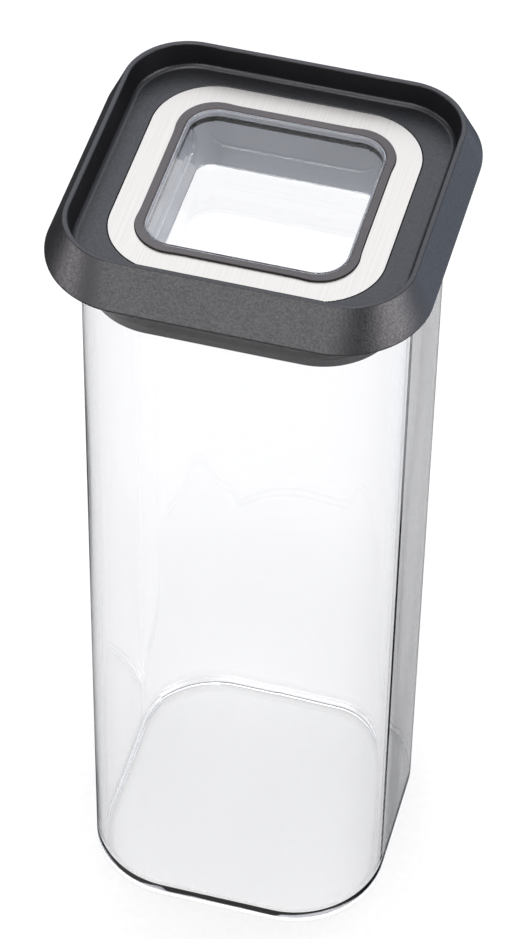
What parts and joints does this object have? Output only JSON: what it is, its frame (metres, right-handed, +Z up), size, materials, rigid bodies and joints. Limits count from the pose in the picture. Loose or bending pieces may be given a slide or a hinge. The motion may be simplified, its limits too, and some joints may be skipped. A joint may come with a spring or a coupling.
{
  "type": "lidded glass canister",
  "caption": "Tall rounded-square glass storage jar with a lift-off tray-topped lid, steel trim ring, clear window well and silicone lip seal.",
  "frame": {"origin": "middle of the jar's flat base", "axes": "+Z up along the jar, -Y towards the front, +X to the right seen from the front"},
  "size_m": [0.109, 0.109, 0.2774],
  "materials": {
    "clear_glass": "gloss",
    "anthracite_plastic": "satin",
    "brushed_steel": "satin",
    "adhesive_film": "matte",
    "bezel_grey": "matte",
    "clear_plastic": "gloss",
    "dark_silicone": "matte",
    "plug_plastic": "satin"
  },
  "bodies": {
    "jar": {"glass_jar": "clear_glass"},
    "lid": {"lid_tray": "anthracite_plastic", "steel_ring": "brushed_steel", "ring_adhesive": "adhesive_film", "window_bezel": "bezel_grey", "window_cup": "clear_plastic", "window_gasket": "dark_silicone", "plug_ring": "plug_plastic", "lid_seal": "dark_silicone"}
  },
  "joints": [
    {"name": "lid_lift", "type": "slide", "parent": "jar", "child": "lid", "axis": [0, 0, 1], "range_m": [0, 0.06]}
  ]
}
